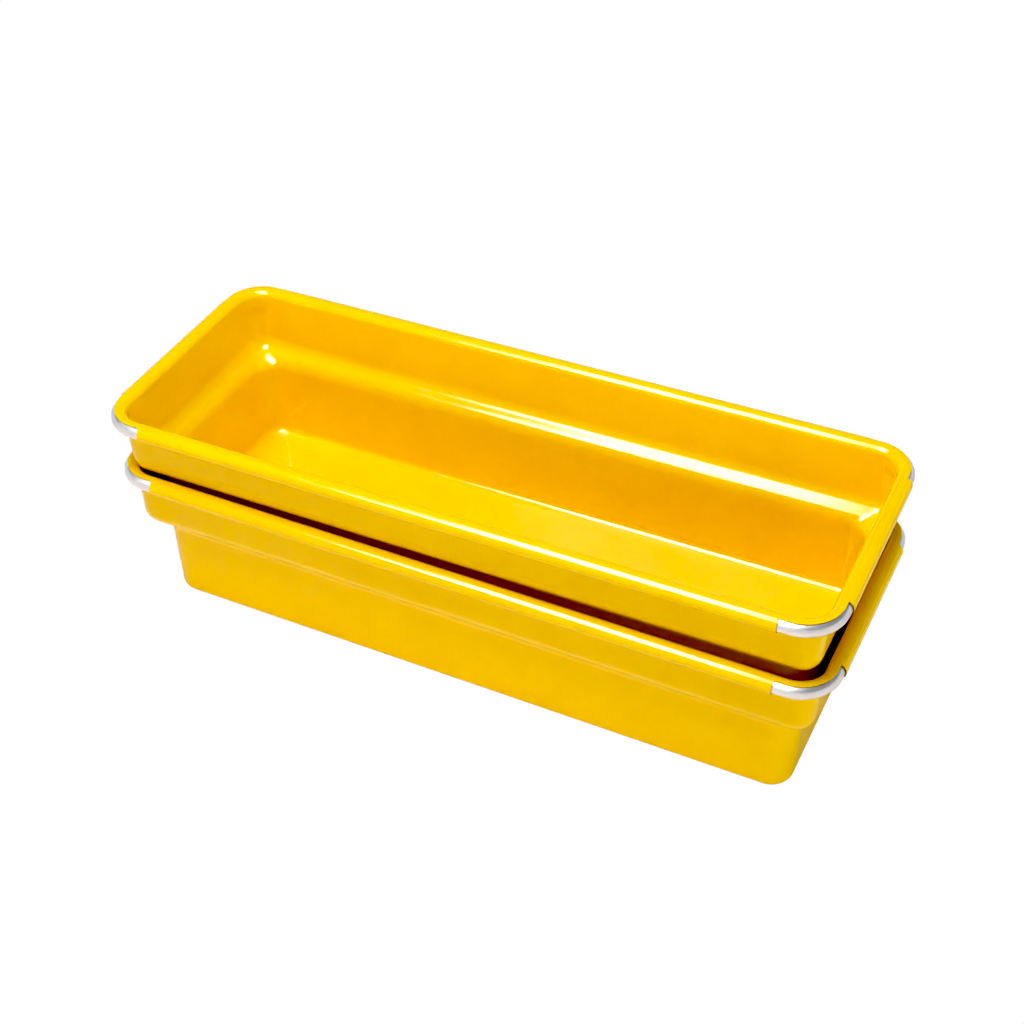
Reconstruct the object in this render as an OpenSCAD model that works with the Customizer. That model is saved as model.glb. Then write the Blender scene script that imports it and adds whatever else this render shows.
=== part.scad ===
// Two deep stepped trays, the upper one nested loosely in the lower one.
// Each tray is one thin yellow moulding whose straight edges are folded over
// a ring of bent aluminium tube; the folds stop short of the corners.
// Units: millimetres. X runs along the tray, Y across it, Z up.
// The origin is on the ground under the middle of the lower tray.

/* [Rim] */
// Length of the rim, measured between tube centre lines
rim_length = 490; // [380:5:620]
// Width of the rim, measured between tube centre lines
rim_width = 174.6; // [140:0.2:260]
// Height of the tube centre line above the underside of the floor
rim_height = 107.5; // [90:0.5:140]
// Bend radius of the tube at the corners, to its centre line
corner_bend = 23; // [21:0.5:40]

/* [Tube ring] */
// Outside diameter of the tube
tube_d = 10; // [8:0.5:11]
// Wall thickness of the tube
tube_wall = 1; // [0.8:0.1:1.5]
// Gap between the two tube ends, in the middle of the back fold
tube_end_gap = 0.4; // [0.2:0.1:1]
// Length of the pin that joins the two tube ends
pin_length = 44; // [30:2:80]
// Slack between the pin and the bore of the tube, on the diameter
pin_slack = 0.2; // [0.1:0.05:0.4]

/* [Fold] */
// Thickness of the moulded sheet
sheet = 0.8; // [0.6:0.1:0.9]
// Slack between the tube and the fold, on the radius
fold_slack = 0.05; // [0.05:0.05:0.2]
// Angle past the top of the tube to which the folds wrap round it
fold_wrap = 140; // [100:5:150]
// Length of the folds on the two long sides
long_fold = 431.6; // [340:0.2:560]
// Length of the folds on the two short sides
short_fold = 120.5; // [90:0.5:200]
// Angle past the top of the tube at which the lip is trimmed at the corners
lip_trim = 22; // [10:1:40]

/* [Walls] */
// Height of the middle of the step's underside above that of the floor
step_height = 65.8; // [60:0.2:72]
// Lean of the wall above the step, in degrees
upper_draft = 1.6; // [1:0.1:3]
// Outside radius where the wall above the step turns in
step_round = 12.1; // [10:0.1:13]
// Width of the flat in the middle of the step
step_flat = 0.6; // [0.4:0.1:1.5]
// Inset of the wall below the step from the tube centre line, at its top
lower_inset = 16.43; // [16:0.05:18]
// Lean of the wall below the step, in degrees
lower_draft = 1.65; // [1.6:0.05:3]
// Plan radius of the outside corners just below the step
lower_corner = 17; // [12:0.5:24]
// Outside radius between the lower wall and the floor
floor_round = 6; // [4:0.5:8]

/* [Nesting] */
// Height of the upper tray's floor above the lower tray's floor
nest_height = 49.4; // [49.4:0.2:60]
// How far the back edge of the upper tray rides up, in degrees about X
nest_tip_back = 1.3; // [0:0.05:1.3]
// How far the right end of the upper tray rides up, in degrees about Y
nest_tip_right = 0.7; // [0:0.05:0.7]
// Sideways shift of the upper tray along X
nest_shift_x = -0.5; // [-0.5:0.1:0.3]
// Sideways shift of the upper tray along Y
nest_shift_y = -0.9; // [-0.9:0.1:0]

/* [Finish] */
// Colour of the moulded trays
tray_colour = [1.0, 0.78, 0.03];
// Colour of the tube rings
tube_colour = [0.86, 0.86, 0.88];
// Colour of the joining pins
pin_colour = [0.55, 0.56, 0.58];

/* [Hidden] */
$fn = 96;
half_x = rim_length / 2;
half_y = rim_width / 2;
tube_r = tube_d / 2;
fold_in = tube_r + fold_slack;
fold_out = fold_in + sheet;

// The step is a soft S: the wall above it turns in through the outer round,
// and the inner round turns down into the wall below. Where the two meet,
// each is step_reach across from its own centre.
outer_round = step_round;
inner_round = step_round - sheet;

// Wall above the step: leaves the fold on its inner side and leans inwards.
upper_top_u = fold_in * cos(upper_draft);
upper_top_v = rim_height + fold_in * sin(upper_draft);
upper_end_v = step_height + outer_round * (0.85 - sin(upper_draft));
upper_end_u = upper_top_u + (upper_top_v - upper_end_v) * tan(upper_draft);
step_u = upper_end_u + outer_round * cos(upper_draft);

// Where the outer and inner rounds meet the flat of the step.
turn_u = lower_inset - inner_round * cos(lower_draft);
step_reach = (step_u - turn_u + step_flat) / 2;
far_rise = sqrt(pow(outer_round, 2) - pow(step_reach, 2));
near_rise = sqrt(pow(inner_round, 2) - pow(step_reach, 2));
step_v = upper_end_v + outer_round * sin(upper_draft);
far_turn = acos(step_reach / outer_round);
near_turn = acos(step_reach / inner_round);
turn_v = step_v - far_rise - near_rise;

// The flat of the step, from flat_near to flat_far across and from step_z
// up, to a hundredth of a millimetre.
function tidy(x) = round(x * 100) / 100;
step_z = tidy(step_v - far_rise);
step_sheet = tidy(far_rise - near_rise);
flat_near = tidy(step_u - step_reach);
flat_far = tidy(turn_u + step_reach);

// Wall below the step.
lower_top_u = lower_inset;
lower_top_v = turn_v + inner_round * sin(lower_draft);
lower_end_v = floor_round * (1 - sin(lower_draft));
lower_end_u = lower_top_u + (lower_top_v - lower_end_v) * tan(lower_draft);
floor_u = lower_end_u + floor_round * cos(lower_draft);
lower_centre = lower_inset + lower_corner;

// Largest turn between two points of a curved part of a section, in degrees.
arc_step = 11.25;

// Points along an arc about [u, v], from angle a0 to a1.
function arc(u, v, r, a0, a1) =
    let (n = ceil(abs(a1 - a0) / arc_step))
    [for (i = [0 : n]) let (a = a0 + (a1 - a0) * i / n) [u + r * cos(a), v + r * sin(a)]];

// A list of points without its first, and without its last.
function cut_start(points) = [for (i = [1 : len(points) - 1]) points[i]];
function cut_end(points) = [for (i = [0 : len(points) - 2]) points[i]];

// Section of the rim and the wall above the step. The section's x is the
// distance in from the tube centre line, its y is the height. The two long
// edges of the sheet are listed one after the other; wrap_in and wrap_out
// carry the part that wraps on round the tube.
module upper_section(wrap_in = [], wrap_out = []) {
    polygon(concat(
        wrap_in,
        arc(0, rim_height, fold_in, 90 + lip_trim, upper_draft),
        cut_end(arc(step_u, step_v, outer_round, 180 + upper_draft, 180 + far_turn)),
        [[flat_near, step_z], [flat_near, step_z + step_sheet]],
        cut_start(arc(step_u, step_v, inner_round, 180 + near_turn, 180 + upper_draft)),
        arc(0, rim_height, fold_out, upper_draft, 90 + lip_trim),
        wrap_out
    ));
}

// The part of the fold past the trimmed lip, on a radius r, from angle a0 to
// a1; the point on the lip itself is left to upper_section.
function wrapped(r, a0, a1) =
    [for (p = arc(0, rim_height, r, a0, a1))
        if (norm(p - arc(0, rim_height, r, 90 + lip_trim, 90 + lip_trim + 1)[0]) > 0.01) p];

module folded_section() {
    upper_section(wrapped(fold_in, 90 + fold_wrap, 90 + lip_trim),
        wrapped(fold_out, 90 + lip_trim, 90 + fold_wrap));
}

module trimmed_section() {
    upper_section();
}

// Section of the wall below the step, with its turns to the step and floor.
module lower_section() {
    polygon(concat(
        [[flat_far, step_z]],
        cut_start(arc(turn_u, turn_v, inner_round, near_turn, lower_draft)),
        arc(floor_u, floor_round, floor_round, 180 + lower_draft, 270),
        arc(floor_u, floor_round, floor_round - sheet, 270, 180 + lower_draft),
        cut_end(arc(turn_u, turn_v, outer_round, lower_draft, far_turn)),
        [[flat_far, step_z + step_sheet]]
    ));
}

// A straight run of a section: side 0 is the front, 1 the right, 2 the back
// and 3 the left; from and to are measured along the side.
module run(side, from, to) {
    rotate([0, 0, 90 * side])
        translate([from, side % 2 == 0 ? -half_y : -half_x, 0])
            rotate([90, 0, 90]) linear_extrude(height = to - from) children();
}

// A quarter turn of a section at each of the four corners, with the centre
// of the turn in from both tube centre lines by c.
module corners(c) {
    for (i = [0 : 3]) {
        sx = (i == 0 || i == 3) ? 1 : -1;
        sy = i < 2 ? 1 : -1;
        translate([sx * (half_x - c), sy * (half_y - c), 0]) rotate([0, 0, 90 * i])
            rotate_extrude(angle = 90) translate([c, 0]) mirror([1, 0]) children();
    }
}

// Rectangle with rounded corners, in from the tube centre lines by inset.
module rounded(inset, r) {
    square([2 * (half_x - inset), 2 * (half_y - inset - r)], center = true);
    square([2 * (half_x - inset - r), 2 * (half_y - inset)], center = true);
    for (sx = [-1, 1], sy = [-1, 1])
        translate([sx * (half_x - inset - r), sy * (half_y - inset - r)]) circle(r = r);
}

// The moulded tray: folded rim, upper wall, step, lower wall and floor.
module shell() {
    for (side = [0 : 3]) {
        corner_at = (side % 2 == 0 ? half_x : half_y) - corner_bend;
        fold_at = (side % 2 == 0 ? long_fold : short_fold) / 2;
        turn_at = (side % 2 == 0 ? half_x : half_y) - lower_centre;
        run(side, -fold_at, fold_at) folded_section();
        run(side, -corner_at, -fold_at) trimmed_section();
        run(side, fold_at, corner_at) trimmed_section();
        run(side, -turn_at, turn_at) lower_section();
    }
    corners(corner_bend) trimmed_section();
    corners(lower_centre) lower_section();
    translate([0, 0, step_z]) linear_extrude(height = step_sheet) difference() {
        rounded(flat_near, corner_bend - flat_near);
        rounded(flat_far, lower_centre - flat_far);
    }
    linear_extrude(height = sheet) rounded(floor_u, lower_centre - floor_u);
}

module tube_section() {
    translate([0, rim_height]) difference() {
        circle(r = tube_r);
        circle(r = tube_r - tube_wall);
    }
}

// One length of tube bent round four corners; its ends meet at the back.
module tube_ring() {
    along = half_x - corner_bend;
    over = half_y - corner_bend;
    run(0, -along, along) tube_section();
    run(1, -over, over) tube_section();
    run(2, -along, -tube_end_gap / 2) tube_section();
    run(2, tube_end_gap / 2, along) tube_section();
    run(3, -over, over) tube_section();
    corners(corner_bend) tube_section();
}

// Pin pushed into both tube ends.
module tube_pin() {
    translate([-pin_length / 2, half_y, rim_height]) rotate([0, 90, 0])
        cylinder(h = pin_length, d = tube_d - 2 * tube_wall - pin_slack);
}

// Places the upper tray as it lies in the lower one, slightly out of level.
module nested() {
    translate([nest_shift_x, nest_shift_y, nest_height + rim_height / 2])
        rotate([nest_tip_back, -nest_tip_right, 0])
            translate([0, 0, -rim_height / 2]) children();
}

module lower_shell() {
    color(tray_colour) shell();
}

module lower_rim_tube() {
    color(tube_colour) tube_ring();
}

module lower_tube_pin() {
    color(pin_colour) tube_pin();
}

module upper_shell() {
    color(tray_colour) nested() shell();
}

module upper_rim_tube() {
    color(tube_colour) nested() tube_ring();
}

module upper_tube_pin() {
    color(pin_colour) nested() tube_pin();
}

lower_shell();
lower_rim_tube();
lower_tube_pin();
upper_shell();
upper_rim_tube();
upper_tube_pin();
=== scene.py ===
# Two deep stepped trays, the upper one nested loosely in the lower one.
# Each tray is a thin yellow moulding folded over a ring of aluminium tube.
# The trays' sizes are in millimetres and are turned into metres as each mesh
# is made. The stage is in metres.

import math

import bmesh
import bpy
from mathutils import Matrix, Vector, noise


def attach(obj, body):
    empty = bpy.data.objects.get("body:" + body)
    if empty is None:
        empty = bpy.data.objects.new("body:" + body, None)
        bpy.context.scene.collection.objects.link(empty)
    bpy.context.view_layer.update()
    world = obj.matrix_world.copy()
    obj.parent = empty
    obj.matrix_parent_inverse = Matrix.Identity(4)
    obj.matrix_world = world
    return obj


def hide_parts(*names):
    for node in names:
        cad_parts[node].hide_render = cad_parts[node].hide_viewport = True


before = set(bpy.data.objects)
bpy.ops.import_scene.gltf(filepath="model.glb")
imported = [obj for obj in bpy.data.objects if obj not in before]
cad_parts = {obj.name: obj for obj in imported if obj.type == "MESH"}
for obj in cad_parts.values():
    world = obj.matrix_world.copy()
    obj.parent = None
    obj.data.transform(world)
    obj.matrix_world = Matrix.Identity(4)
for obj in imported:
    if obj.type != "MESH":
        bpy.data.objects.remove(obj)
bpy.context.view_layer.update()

MM = 0.001

# Rim and tube, as in the CAD.
HALF_X = 245.0
HALF_Y = 87.3
RIM_HEIGHT = 107.5
CORNER_BEND = 23.0
TUBE_R = 5.0
TUBE_WALL = 1.0
TUBE_END_GAP = 0.4

# Fold.
SHEET = 0.8
FOLD_IN = TUBE_R + 0.05
LONG_FOLD = 431.6
SHORT_FOLD = 120.5
LIP_END = 112.0
FOLD_END = 230.0

# Walls. The drafts, the lower inset and the floor round are the CAD's. The
# step is a smooth S that is a little rounder than the CAD's step.
UPPER_DRAFT = 1.6
LOWER_INSET = 16.43
LOWER_DRAFT = 1.65
FLOOR_ROUND = 6.0
STEP_HEIGHT = 64.7
STEP_ROUND = 13.4
STEP_SLOPE = 37.5
STEP_TOP = 0.85

# Inset of the centre of each plan corner, from the tube centre lines, and
# how the corner changes from one centre to the next.
UPPER_CENTRE = 18.5
LOWER_CENTRE = 33.5
TIGHTEN_DEPTH = 9.0
CENTRE_HOLD = 0.35

# Place of the upper tray in the lower one.
NEST_SHIFT = (-0.5, -0.9, 49.4)
NEST_TIP_BACK = 1.3
NEST_TIP_RIGHT = 0.7

# Fineness of the meshes.
ARC_STEP = 6.0
STEP_ARC_STEP = 4.0
UPPER_WALL_STEPS = 9
LOWER_WALL_STEPS = 8
FLOOR_EDGE_ROWS = (0.8, 4, 8)
CORNER_STEPS = 16
LONG_STEPS = 60
SHORT_STEPS = 20
TUBE_SIDES = 40
SHARP_ANGLE = math.radians(40)

# Waviness of the walls: its greatest size, the length of the waves along and
# up the wall, and how far from rim and floor it takes to grow.
WAVE = 0.035
WAVE_LENGTH = 45
WAVE_RISE = 38
WAVE_FREE = 8
WAVE_GROWTH = 12


def cos_d(angle):
    return math.cos(math.radians(angle))


def sin_d(angle):
    return math.sin(math.radians(angle))


def tan_d(angle):
    return math.tan(math.radians(angle))


# ---------------------------------------------------------------- sections
# A section point is (u, v, c): u in from the tube centre line, v up from the
# underside of the floor, and c the inset of the plan corner's centre.

def arc(u, v, r, a0, a1, arc_step=ARC_STEP):
    """Points on a round about (u, v), from angle a0 to a1."""
    steps = max(1, math.ceil(abs(a1 - a0) / arc_step))
    angles = [a0 + (a1 - a0) * i / steps for i in range(steps + 1)]
    return [(u + r * cos_d(a), v + r * sin_d(a)) for a in angles]


def between(p, q, steps, hold=0.8):
    """Points between p and q, with one close to each end to hold the curve."""
    length = math.dist(p, q)
    near = min(hold / length, 0.2)
    parts = [near + (1 - 2 * near) * i / steps for i in range(steps + 1)]
    return [(p[0] + (q[0] - p[0]) * t, p[1] + (q[1] - p[1]) * t) for t in parts]


def smooth_step(t):
    return t * t * (3 - 2 * t)


def step_centres(count):
    """Corner centres down the step; the upper one is held for part of the way."""
    shares = [i / (count - 1) for i in range(count)]
    parts = [max(0.0, (share - CENTRE_HOLD) / (1 - CENTRE_HOLD)) for share in shares]
    change = LOWER_CENTRE - UPPER_CENTRE
    return [UPPER_CENTRE + change * smooth_step(part) for part in parts]


def wall_centre(v):
    """Under the tube, the corner of the wall turns tighter than the tube does."""
    below = (RIM_HEIGHT - TUBE_R - v) / TIGHTEN_DEPTH
    part = smooth_step(max(0.0, min(1.0, below)))
    return CORNER_BEND + (UPPER_CENTRE - CORNER_BEND) * part


def skin(side):
    """One skin of the sheet from the trimmed lip to the floor: 0 outer, 1 inner."""
    outer, inner = STEP_ROUND, STEP_ROUND - SHEET
    up_top_u = FOLD_IN * cos_d(UPPER_DRAFT)
    up_top_v = RIM_HEIGHT + FOLD_IN * sin_d(UPPER_DRAFT)
    up_end_v = STEP_HEIGHT + outer * (STEP_TOP - sin_d(UPPER_DRAFT))
    up_end_u = up_top_u + (up_top_v - up_end_v) * tan_d(UPPER_DRAFT)
    step_u = up_end_u + outer * cos_d(UPPER_DRAFT)
    step_v = up_end_v + outer * sin_d(UPPER_DRAFT)
    turn_u = LOWER_INSET - inner * cos_d(LOWER_DRAFT)
    across = turn_u - step_u + (outer + inner) * sin_d(STEP_SLOPE)
    turn_v = step_v - (outer + inner) * cos_d(STEP_SLOPE) - across * tan_d(STEP_SLOPE)
    low_top_v = turn_v + inner * sin_d(LOWER_DRAFT)
    low_end_v = FLOOR_ROUND * (1 - sin_d(LOWER_DRAFT))
    low_end_u = LOWER_INSET + (low_top_v - low_end_v) * tan_d(LOWER_DRAFT)
    floor_u = low_end_u + FLOOR_ROUND * cos_d(LOWER_DRAFT)
    t = SHEET * side

    lip = arc(0, RIM_HEIGHT, FOLD_IN + t, LIP_END, UPPER_DRAFT)
    step_out = arc(step_u, step_v, outer - t, 180 + UPPER_DRAFT, 270 - STEP_SLOPE, STEP_ARC_STEP)
    step_in = arc(turn_u, turn_v, inner + t, 90 - STEP_SLOPE, LOWER_DRAFT, STEP_ARC_STEP)
    base = arc(floor_u, FLOOR_ROUND, FLOOR_ROUND - t, 180 + LOWER_DRAFT, 270)
    upper_wall = between(lip[-1], step_out[0], UPPER_WALL_STEPS)
    lower_wall = between(step_in[-1], base[0], LOWER_WALL_STEPS)

    rows = [(u, v, CORNER_BEND) for u, v in lip]
    rows += [(u, v, wall_centre(v)) for u, v in upper_wall]
    step = step_out + step_in
    rows += [(u, v, c) for (u, v), c in zip(step, step_centres(len(step)))]
    rows += [(u, v, LOWER_CENTRE) for u, v in lower_wall + base]
    rows += [(floor_u + extra, t, LOWER_CENTRE) for extra in FLOOR_EDGE_ROWS]
    return rows


def folded_lip(side):
    """The part of a skin past the trimmed lip, down the outside of the tube."""
    r = FOLD_IN + SHEET * side
    rows = arc(0, RIM_HEIGHT, r, LIP_END, FOLD_END)[1:]
    return [(u, v, CORNER_BEND) for u, v in rows]


# ---------------------------------------------------------------- plan rings

def plan_columns():
    """Where the columns stand round the tray, as (kind, side, place, folded).
    On a straight the place runs from -1 to 1 along the side; at a corner, which
    goes with the side before it, it is the angle turned so far."""
    columns = []
    turns = [i / CORNER_STEPS for i in range(1, CORNER_STEPS)]
    for side in range(4):
        long_side = side % 2 == 0
        half = (HALF_X if long_side else HALF_Y) - CORNER_BEND
        fold = (LONG_FOLD if long_side else SHORT_FOLD) / 2 / half
        steps = LONG_STEPS if long_side else SHORT_STEPS
        inside = [-fold + 2 * fold * i / steps for i in range(steps + 1)]
        columns += [("straight", side, place, False) for place in (-1.0, -(1 + fold) / 2)]
        columns += [("straight", side, place, True) for place in inside]
        columns += [("straight", side, place, False) for place in ((1 + fold) / 2, 1.0)]
        columns += [("corner", side, 90 * part, False) for part in turns]
    return columns


def plan_point(column, u, c):
    """Where a section point that is u in stands in plan, on this column."""
    kind, side, place, _ = column
    long_side = side % 2 == 0
    along = (HALF_X if long_side else HALF_Y) - c
    across = HALF_Y if long_side else HALF_X
    if kind == "straight":
        x, y = place * along, u - across
    else:
        r = c - u
        x = along + r * sin_d(place)
        y = c - across - r * cos_d(place)
    turn = 90 * side
    return x * cos_d(turn) - y * sin_d(turn), x * sin_d(turn) + y * cos_d(turn)


def plan_outward(column):
    """The way out of the tray, in plan, on this column."""
    kind, side, place, _ = column
    turn = 90 * side - 90 + (place if kind == "corner" else 0)
    return cos_d(turn), sin_d(turn)


def waved(x, y, z, column, seed):
    """A moulding is never quite flat: moves a wall point in or out a little."""
    from_top = RIM_HEIGHT - WAVE_FREE - z
    if from_top < 0:
        return x, y, z
    fade = min(1.0, from_top / WAVE_GROWTH) * min(1.0, z / WAVE_GROWTH)
    at = Vector((x / WAVE_LENGTH, y / WAVE_LENGTH, z / WAVE_RISE + seed))
    push = WAVE * fade * noise.noise(at)
    nx, ny = plan_outward(column)
    return x + nx * push, y + ny * push, z


def nested_place():
    """How the upper tray lies in the lower one, as in the CAD."""
    lift = Matrix.Translation((NEST_SHIFT[0], NEST_SHIFT[1], NEST_SHIFT[2] + RIM_HEIGHT / 2))
    tip_right = Matrix.Rotation(math.radians(-NEST_TIP_RIGHT), 4, "Y")
    tip_back = Matrix.Rotation(math.radians(NEST_TIP_BACK), 4, "X")
    return lift @ tip_right @ tip_back @ Matrix.Translation((0, 0, -RIM_HEIGHT / 2))


# ---------------------------------------------------------------- meshes

def add_ring(bm, row, columns, seed):
    u, v, c = row
    ring = []
    for column in columns:
        x, y = plan_point(column, u, c)
        ring.append(bm.verts.new(waved(x, y, v, column, seed)))
    return ring


def bridge(bm, ring_a, ring_b, slot, spans):
    for i, j in spans:
        face = bm.faces.new((ring_a[i], ring_a[j], ring_b[j], ring_b[i]))
        face.material_index = slot


def add_skins(bm, columns, spans, seed):
    """Both skins of the sheet, each closed by its face of the floor."""
    skins = []
    for side in (0, 1):
        rings = [add_ring(bm, row, columns, seed) for row in skin(side)]
        for above, below in zip(rings, rings[1:]):
            bridge(bm, above, below, 0, spans)
        bm.faces.new(rings[-1])
        skins.append(rings)
    return skins


def add_folds(bm, columns, skins, folded, fold_columns):
    """Both skins of the folds, from the trimmed lip on round the tube."""
    lips = []
    for side in (0, 1):
        rows = [dict(enumerate(skins[side][0]))]
        for u, v, c in folded_lip(side):
            ring = {}
            for i in fold_columns:
                x, y = plan_point(columns[i], u, c)
                ring[i] = bm.verts.new((x, y, v))
            rows.append(ring)
        for above, below in zip(rows, rows[1:]):
            bridge(bm, above, below, 0, folded)
        lips.append(rows)
    return lips


def add_fold_ends(bm, lips, fold_columns, count):
    """The cut ends of the folds, one at each side of every bare corner."""
    outer, inner = lips
    for i in fold_columns:
        if (i + 1) % count in fold_columns and (i - 1) % count in fold_columns:
            continue
        for k in range(len(outer) - 1):
            face = bm.faces.new((outer[k][i], outer[k + 1][i], inner[k + 1][i], inner[k][i]))
            face.material_index = 1


def finished_mesh(bm, name, place):
    """A mesh in metres, moved to its place, smooth with its sharp edges kept."""
    bmesh.ops.recalc_face_normals(bm, faces=bm.faces)
    for face in bm.faces:
        face.smooth = True
    for edge in bm.edges:
        if edge.is_manifold and edge.calc_face_angle() > SHARP_ANGLE:
            edge.smooth = False
    bm.transform(Matrix.Scale(MM, 4) @ place)
    mesh = bpy.data.meshes.new(name)
    bm.to_mesh(mesh)
    bm.free()
    return mesh


def shell_mesh(name, place, seed):
    """The whole moulding as one closed mesh; slot 1 is for its cut edges."""
    columns = plan_columns()
    count = len(columns)
    spans = [(i, (i + 1) % count) for i in range(count)]
    folded = [(i, j) for i, j in spans if columns[i][3] and columns[j][3]]
    plain = [span for span in spans if span not in folded]
    fold_columns = sorted({i for span in folded for i in span})

    bm = bmesh.new()
    skins = add_skins(bm, columns, spans, seed)
    lips = add_folds(bm, columns, skins, folded, fold_columns)
    bridge(bm, lips[0][-1], lips[1][-1], 1, folded)
    bridge(bm, lips[0][0], lips[1][0], 1, plain)
    add_fold_ends(bm, lips, fold_columns, count)
    return finished_mesh(bm, name, place)


def tube_columns():
    """Columns in the order that the tube passes them, from one of its ends at
    the middle of the back to the other."""
    columns = plan_columns()
    gap = TUBE_END_GAP / 2 / (HALF_X - CORNER_BEND)
    at_back = [column[:2] == ("straight", 2) for column in columns]
    first = 1 + max(i for i, back in enumerate(at_back) if back and columns[i][2] <= 0)
    order = [(first + i) % len(columns) for i in range(len(columns))]
    middle = [columns[i] for i in order if not (at_back[i] and abs(columns[i][2]) <= gap)]
    return [("straight", 2, gap, False), *middle, ("straight", 2, -gap, False)]


def tube_path():
    """Points of the tube's centre line, each with the way out from the ring
    and the length so far."""
    points = []
    length = 0.0
    for column in tube_columns():
        x, y = plan_point(column, 0, CORNER_BEND)
        here = Vector((x, y, RIM_HEIGHT))
        if points:
            length += (here - points[-1][0]).length
        points.append((here, Vector((*plan_outward(column), 0)), length))
    return points


def add_tube_rings(bm, path, r):
    """A ring of points of radius r about each point of the path."""
    rings = []
    for here, out, _ in path:
        ring = []
        for k in range(TUBE_SIDES):
            angle = 360 * k / TUBE_SIDES
            at = here + out * (r * cos_d(angle)) + Vector((0, 0, r * sin_d(angle)))
            ring.append(bm.verts.new(at))
        rings.append(ring)
    return rings


def add_tube_wall(bm, path, rings, uv_layer):
    """Faces between the rings, with UVs that run along the tube and round it."""
    for i in range(len(path) - 1):
        for k in range(TUBE_SIDES):
            k2 = (k + 1) % TUBE_SIDES
            face = bm.faces.new((rings[i][k], rings[i][k2], rings[i + 1][k2], rings[i + 1][k]))
            places = ((i, k), (i, k + 1), (i + 1, k + 1), (i + 1, k))
            for loop, (at, turn) in zip(face.loops, places):
                loop[uv_layer].uv = (path[at][2] * MM, turn / TUBE_SIDES)


def add_tube_end(bm, outer, bore):
    for k in range(TUBE_SIDES):
        k2 = (k + 1) % TUBE_SIDES
        bm.faces.new((outer[k], outer[k2], bore[k2], bore[k]))


def tube_mesh(name, place):
    """The bent tube: outer wall, bore and two end faces."""
    path = tube_path()
    bm = bmesh.new()
    uv_layer = bm.loops.layers.uv.new("UVMap")
    outer = add_tube_rings(bm, path, TUBE_R)
    bore = add_tube_rings(bm, path, TUBE_R - TUBE_WALL)
    add_tube_wall(bm, path, outer, uv_layer)
    add_tube_wall(bm, path, bore, uv_layer)
    for i in (0, -1):
        add_tube_end(bm, outer[i], bore[i])
    return finished_mesh(bm, name, place)


def add_piece(name, mesh, materials, body, node):
    """Adds a mesh that rides its CAD body and stands in for a CAD node."""
    obj = bpy.data.objects.new(name, mesh)
    bpy.context.scene.collection.objects.link(obj)
    for material in materials:
        mesh.materials.append(material)
    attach(obj, body)
    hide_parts(node)
    return obj


def round_edges(obj, width):
    bevel = obj.modifiers.new("edge_round", "BEVEL")
    bevel.width = width * MM
    bevel.segments = 2
    bevel.limit_method = "ANGLE"
    bevel.angle_limit = math.radians(50)


# ---------------------------------------------------------------- materials

def new_material(name):
    material = bpy.data.materials.new(name)
    material.use_nodes = True
    nodes = material.node_tree.nodes
    return material, nodes, material.node_tree.links, nodes["Principled BSDF"]


def add_noise(nodes, links, coordinate, scale, detail, roughness):
    texture = nodes.new("ShaderNodeTexNoise")
    texture.inputs["Scale"].default_value = scale
    texture.inputs["Detail"].default_value = detail
    texture.inputs["Roughness"].default_value = roughness
    links.new(coordinate, texture.inputs["Vector"])
    return texture.outputs["Fac"]


def add_ramp(nodes, links, value, stops):
    """A colour that follows a value through stops of (place, colour)."""
    ramp = nodes.new("ShaderNodeValToRGB")
    elements = ramp.color_ramp.elements
    while len(elements) < len(stops):
        elements.new(0.5)
    for element, (place, colour) in zip(elements, stops):
        element.position = place
        element.color = (*colour, 1)
    links.new(value, ramp.inputs["Fac"])
    return ramp.outputs["Color"]


def add_range(nodes, links, value, low, high):
    """Spreads the usual range of a noise, 0.3 to 0.7, over low to high."""
    spread = nodes.new("ShaderNodeMapRange")
    spread.inputs["From Min"].default_value = 0.3
    spread.inputs["From Max"].default_value = 0.7
    spread.inputs["To Min"].default_value = low
    spread.inputs["To Max"].default_value = high
    links.new(value, spread.inputs["Value"])
    return spread.outputs["Result"]


def add_bump(nodes, links, height, strength, distance, below=None):
    bump = nodes.new("ShaderNodeBump")
    bump.inputs["Strength"].default_value = strength
    bump.inputs["Distance"].default_value = distance
    links.new(height, bump.inputs["Height"])
    if below is not None:
        links.new(below, bump.inputs["Normal"])
    return bump.outputs["Normal"]


def tray_material():
    """Gloss yellow plastic with faint mottling and an orange-peel surface."""
    material, nodes, links, shader = new_material("tray_yellow_plastic")
    at = nodes.new("ShaderNodeTexCoord").outputs["Object"]
    mottle = add_noise(nodes, links, at, 28, 4, 0.55)
    stops = ((0.35, (0.92, 0.60, 0.0015)), (0.65, (0.945, 0.63, 0.002)))
    colour = add_ramp(nodes, links, mottle, stops)
    links.new(colour, shader.inputs["Base Color"])
    gloss = add_noise(nodes, links, at, 160, 4, 0.6)
    rough = add_range(nodes, links, gloss, 0.10, 0.20)
    links.new(rough, shader.inputs["Roughness"])
    peel = add_noise(nodes, links, at, 700, 2, 0.5)
    swell = add_noise(nodes, links, at, 90, 2, 0.5)
    fine = add_bump(nodes, links, peel, 0.25, 0.00002)
    normal = add_bump(nodes, links, swell, 0.3, 0.0001, fine)
    links.new(normal, shader.inputs["Normal"])
    shader.inputs["IOR"].default_value = 1.5
    return material


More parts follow.
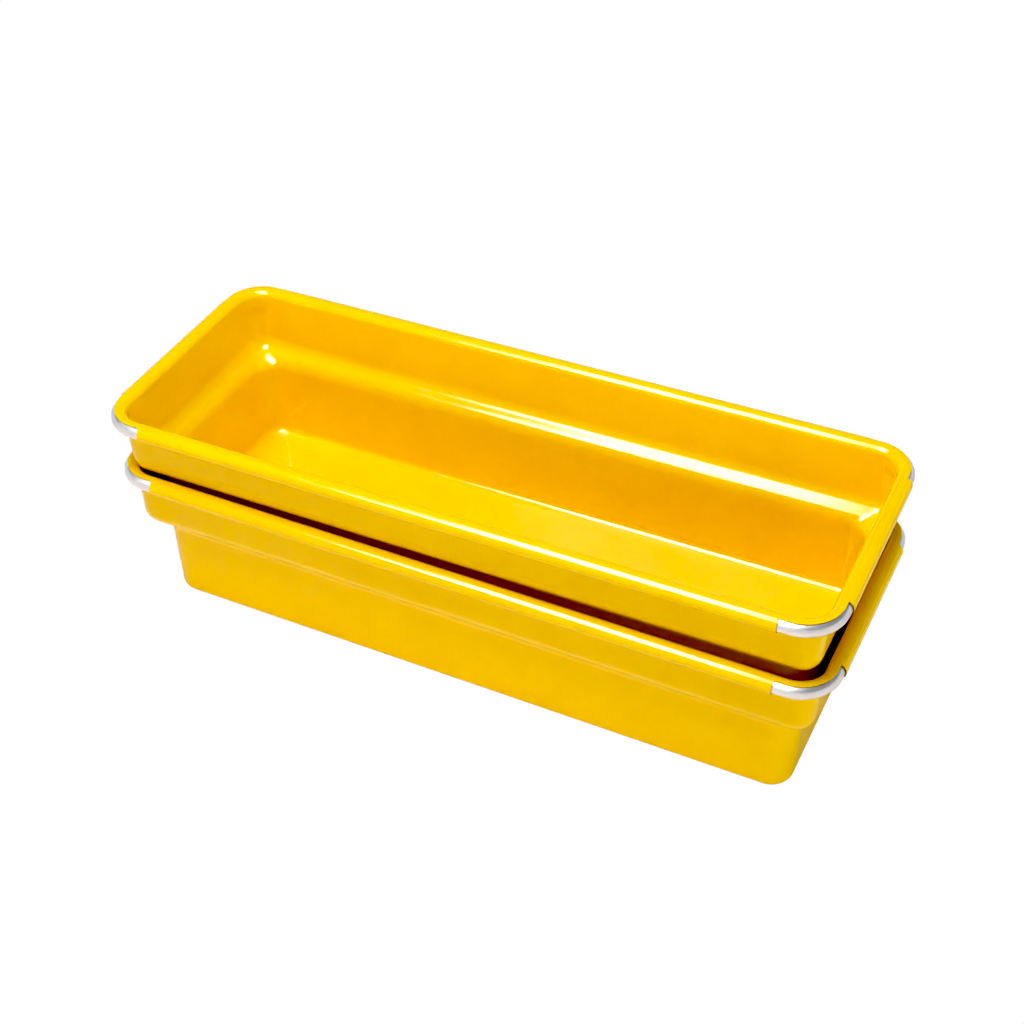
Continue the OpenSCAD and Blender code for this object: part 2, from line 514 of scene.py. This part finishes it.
def cut_edge_material():
    """The cut edge of the sheet, dark brown with a random tone: painted shade for the thin dark
    line along the lip edge and at the fold ends.
    """
    material, nodes, links, shader = new_material("tray_cut_edge_painted_shade")
    at = nodes.new("ShaderNodeTexCoord").outputs["Object"]
    edge_shade_and_roughness = add_noise(nodes, links, at, 300, 4, 0.6)
    # Dark brown of the cut edges: painted shade for the contact shadow line at the lip edge and
    # the fold ends.
    stops = ((0.3, (0.10, 0.045, 0.003)), (0.7, (0.28, 0.13, 0.006)))
    colour = add_ramp(nodes, links, edge_shade_and_roughness, stops)
    links.new(colour, shader.inputs["Base Color"])
    rough = add_range(nodes, links, edge_shade_and_roughness, 0.45, 0.7)
    links.new(rough, shader.inputs["Roughness"])
    return material


def tube_material():
    """Drawn aluminium: fine streaks along the tube and a few soft scuffs."""
    material, nodes, links, shader = new_material("drawn_aluminium")
    uv = nodes.new("ShaderNodeTexCoord").outputs["UV"]
    stretch = nodes.new("ShaderNodeMapping")
    stretch.inputs["Scale"].default_value = (3, 14, 1)
    links.new(uv, stretch.inputs["Vector"])
    streak = add_noise(nodes, links, stretch.outputs["Vector"], 3, 3, 0.5)
    stops = ((0.3, (0.86, 0.86, 0.88)), (0.7, (0.92, 0.92, 0.93)))
    links.new(add_ramp(nodes, links, streak, stops), shader.inputs["Base Color"])
    at = nodes.new("ShaderNodeTexCoord").outputs["Object"]
    scuff = add_noise(nodes, links, at, 120, 3, 0.5)
    rough = add_range(nodes, links, scuff, 0.3, 0.38)
    links.new(rough, shader.inputs["Roughness"])
    links.new(add_bump(nodes, links, streak, 0.08, 0.00002), shader.inputs["Normal"])
    shader.inputs["Metallic"].default_value = 1.0
    return material


def pin_material():
    """Plain turned aluminium."""
    material, nodes, links, shader = new_material("pin_aluminium_plain")
    at = nodes.new("ShaderNodeTexCoord").outputs["Object"]
    stretch = nodes.new("ShaderNodeMapping")
    stretch.inputs["Scale"].default_value = (1200, 80, 80)
    links.new(at, stretch.inputs["Vector"])
    turned = add_noise(nodes, links, stretch.outputs["Vector"], 1, 3, 0.5)
    stops = ((0.3, (0.5, 0.5, 0.52)), (0.7, (0.62, 0.62, 0.64)))
    links.new(add_ramp(nodes, links, turned, stops), shader.inputs["Base Color"])
    rough = add_range(nodes, links, turned, 0.3, 0.45)
    links.new(rough, shader.inputs["Roughness"])
    shader.inputs["Metallic"].default_value = 1.0
    return material


# ---------------------------------------------------------------- stage

# Colour of the floor to all rays but the camera's, and its half width in metres.
FLOOR_COLOUR = (0.82, 0.76, 0.73)
FLOOR_REACH = 5.0

# Brightness of the room: round the horizon, above it and overhead, and what
# the upper part of it is in reflections.
HORIZON_LIGHT = 0.9
MIDDLE_LIGHT = 0.12
TOP_LIGHT = 0.5
SHEEN_LIGHT = 0.25

# Colour of the front light, and what the two highlight lights are aimed at:
# the softbox at the back step of the upper tray, and the strip further left.
FRONT_COLOUR = (1.0, 0.78, 0.6)
BACK_STEP = (0.0, 0.08, 0.12)
STRIP_SHIFT = -0.39
HIGHLIGHT_GLOW = 18

# Camera: place in metres, turns in radians, lens and sensor in millimetres.
CAMERA_PLACE = (0.3844, -0.7800, 0.8063)
CAMERA_YAW = 0.4521
CAMERA_PITCH = -0.6845
CAMERA_ROLL = -0.005
CAMERA_LENS = 59.72
CAMERA_SENSOR = 36.0

BLACK_LEVEL = 0.05

# Power of a light for each square metre and each unit of its brightness.
WATTS_PER_GLOW = 4


def grey(level):
    return (level, level, level)


def add_glow(nodes, links, height, stops):
    """A background whose brightness follows the height of the direction."""
    glow = nodes.new("ShaderNodeBackground")
    stops = [(place, grey(level)) for place, level in stops]
    links.new(add_ramp(nodes, links, height, stops), glow.inputs["Color"])
    return glow


def add_choice(nodes, links, is_ray, otherwise, chosen):
    """One shader for a kind of ray and another for the rest."""
    mix = nodes.new("ShaderNodeMixShader")
    links.new(is_ray, mix.inputs[0])
    links.new(otherwise, mix.inputs[1])
    links.new(chosen, mix.inputs[2])
    return mix.outputs[0]


def floor_material():
    """White sweep: plain white to the camera, diffuse and near white to the light."""
    material = bpy.data.materials.new("white_sweep")
    material.use_nodes = True
    nodes = material.node_tree.nodes
    links = material.node_tree.links
    nodes.clear()
    ray = nodes.new("ShaderNodeLightPath").outputs
    shine = nodes.new("ShaderNodeEmission")
    diffuse = nodes.new("ShaderNodeBsdfDiffuse")
    diffuse.inputs["Color"].default_value = (*FLOOR_COLOUR, 1)
    both = add_choice(nodes, links, ray["Is Camera Ray"], diffuse.outputs[0], shine.outputs[0])
    out = nodes.new("ShaderNodeOutputMaterial")
    links.new(both, out.inputs["Surface"])
    return material


def add_floor():
    mesh = bpy.data.meshes.new("floor")
    turns = ((-1, -1), (1, -1), (1, 1), (-1, 1))
    corners = [(x * FLOOR_REACH, y * FLOOR_REACH, 0) for x, y in turns]
    mesh.from_pydata(corners, [], [(0, 1, 2, 3)])
    floor = bpy.data.objects.new("floor", mesh)
    bpy.context.scene.collection.objects.link(floor)
    mesh.materials.append(floor_material())


def add_world():
    """White to the camera. To the tray it is a white room that is brightest
    near the horizon and overhead, and a plainer one in reflections."""
    world = bpy.data.worlds.new("studio")
    bpy.context.scene.world = world
    world.use_nodes = True
    nodes = world.node_tree.nodes
    links = world.node_tree.links
    nodes.clear()
    direction = nodes.new("ShaderNodeTexCoord").outputs["Generated"]
    split = nodes.new("ShaderNodeSeparateXYZ")
    links.new(direction, split.inputs[0])
    room_stops = (
        (0.0, HORIZON_LIGHT),
        (0.2, HORIZON_LIGHT),
        (0.3, MIDDLE_LIGHT),
        (0.8, MIDDLE_LIGHT),
        (0.95, TOP_LIGHT),
    )
    room = add_glow(nodes, links, split.outputs["Z"], room_stops)
    sheen_stops = ((0.2, HORIZON_LIGHT), (0.35, SHEEN_LIGHT))
    sheen = add_glow(nodes, links, split.outputs["Z"], sheen_stops)
    white = nodes.new("ShaderNodeBackground")
    white.inputs["Color"].default_value = (*grey(1), 1)
    ray = nodes.new("ShaderNodeLightPath").outputs
    unseen = add_choice(nodes, links, ray["Is Glossy Ray"], room.outputs[0], sheen.outputs[0])
    whole = add_choice(nodes, links, ray["Is Camera Ray"], unseen, white.outputs[0])
    out = nodes.new("ShaderNodeOutputWorld")
    links.new(whole, out.inputs["Surface"])


def add_area_light(name, centre, aim, size, glow):
    """A rectangular light: size in metres, glow as its brightness beside white."""
    light = bpy.data.lights.new(name, "AREA")
    light.shape = "RECTANGLE"
    light.size, light.size_y = size
    light.energy = WATTS_PER_GLOW * size[0] * size[1] * glow
    obj = bpy.data.objects.new(name, light)
    bpy.context.scene.collection.objects.link(obj)
    obj.location = centre
    way = (Vector(aim) - Vector(centre)).normalized()
    side = Vector((1, 0, 0))
    up = way.cross(side).normalized()
    side = up.cross(way).normalized()
    obj.rotation_euler = Matrix((side, -up, -way)).transposed().to_euler()
    obj.visible_camera = False
    return obj


def add_lights():
    """Three soft lights for the shading and two for the highlights."""
    overhead = add_area_light("overhead", (-0.2, -0.36, 1.5), (0, 0, 0), (1.0, 0.55), 8.6)
    front = add_area_light("front", (-0.7, -1.8, 0.55), (0, 0, 0.1), (1.4, 0.5), 2.8)
    front.data.color = FRONT_COLOUR
    right = add_area_light("right", (1.8, -0.3, 0.6), (0, 0, 0.1), (1.0, 0.5), 4.5)
    for light in (overhead, front, right):
        light.visible_glossy = False
    strip_aim = Vector(BACK_STEP) + Vector((STRIP_SHIFT, 0, 0))
    softbox = add_area_light("softbox", (-0.16, -0.494, 0.94), BACK_STEP, (0.36, 0.77),
                             HIGHLIGHT_GLOW)
    strip = add_area_light("strip", (-0.39, -0.642, 0.812), strip_aim, (0.15, 0.28),
                           HIGHLIGHT_GLOW)
    for light in (softbox, strip):
        light.visible_diffuse = False


def add_camera():
    flat = math.cos(CAMERA_PITCH)
    forward = Vector((-math.sin(CAMERA_YAW) * flat, math.cos(CAMERA_YAW) * flat,
                      math.sin(CAMERA_PITCH)))
    right = Vector((math.cos(CAMERA_YAW), math.sin(CAMERA_YAW), 0))
    up = right.cross(forward)
    right_rolled = right * math.cos(CAMERA_ROLL) + up * math.sin(CAMERA_ROLL)
    up_rolled = up * math.cos(CAMERA_ROLL) - right * math.sin(CAMERA_ROLL)
    camera = bpy.data.cameras.new("camera")
    camera.lens = CAMERA_LENS
    camera.sensor_width = CAMERA_SENSOR
    obj = bpy.data.objects.new("camera", camera)
    bpy.context.scene.collection.objects.link(obj)
    turn = Matrix((right_rolled, up_rolled, -forward)).transposed().to_4x4()
    obj.matrix_world = Matrix.Translation(CAMERA_PLACE) @ turn
    bpy.context.scene.camera = obj


def set_exposure():
    """Plain studio contrast: a small black level and no other grading."""
    view = bpy.context.scene.view_settings
    view.view_transform = "Standard"
    view.use_curve_mapping = True
    view.curve_mapping.black_level = grey(BLACK_LEVEL)
    view.curve_mapping.update()


# ---------------------------------------------------------------- build

EDGE_ROUND = 0.15
TRAYS = (("lower", Matrix.Identity(4), 0.0), ("upper", nested_place(), 7.3))


def add_tray(prefix, place, seed, tray_look, tube_look):
    """The moulding and the tube ring of one tray; seed sets its waviness."""
    body = prefix + "_tray"
    mesh = shell_mesh(prefix + "_moulding", place, seed)
    shell = add_piece(prefix + "_moulding", mesh, tray_look, body,
                      prefix + "_shell")
    round_edges(shell, EDGE_ROUND)
    mesh = tube_mesh(prefix + "_tube_ring", place)
    add_piece(prefix + "_tube_ring", mesh, tube_look, body, prefix + "_rim_tube")


def dress_pins():
    """The CAD's own pins stay, with a procedural material."""
    look = pin_material()
    for node in ("lower_tube_pin", "upper_tube_pin"):
        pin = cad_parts[node]
        pin.data.materials.clear()
        pin.data.materials.append(look)


tray_materials = [tray_material(), cut_edge_material()]
tube_materials = [tube_material()]
for prefix, place, seed in TRAYS:
    add_tray(prefix, place, seed, tray_materials, tube_materials)
dress_pins()

add_floor()
add_world()
add_lights()
add_camera()
set_exposure()
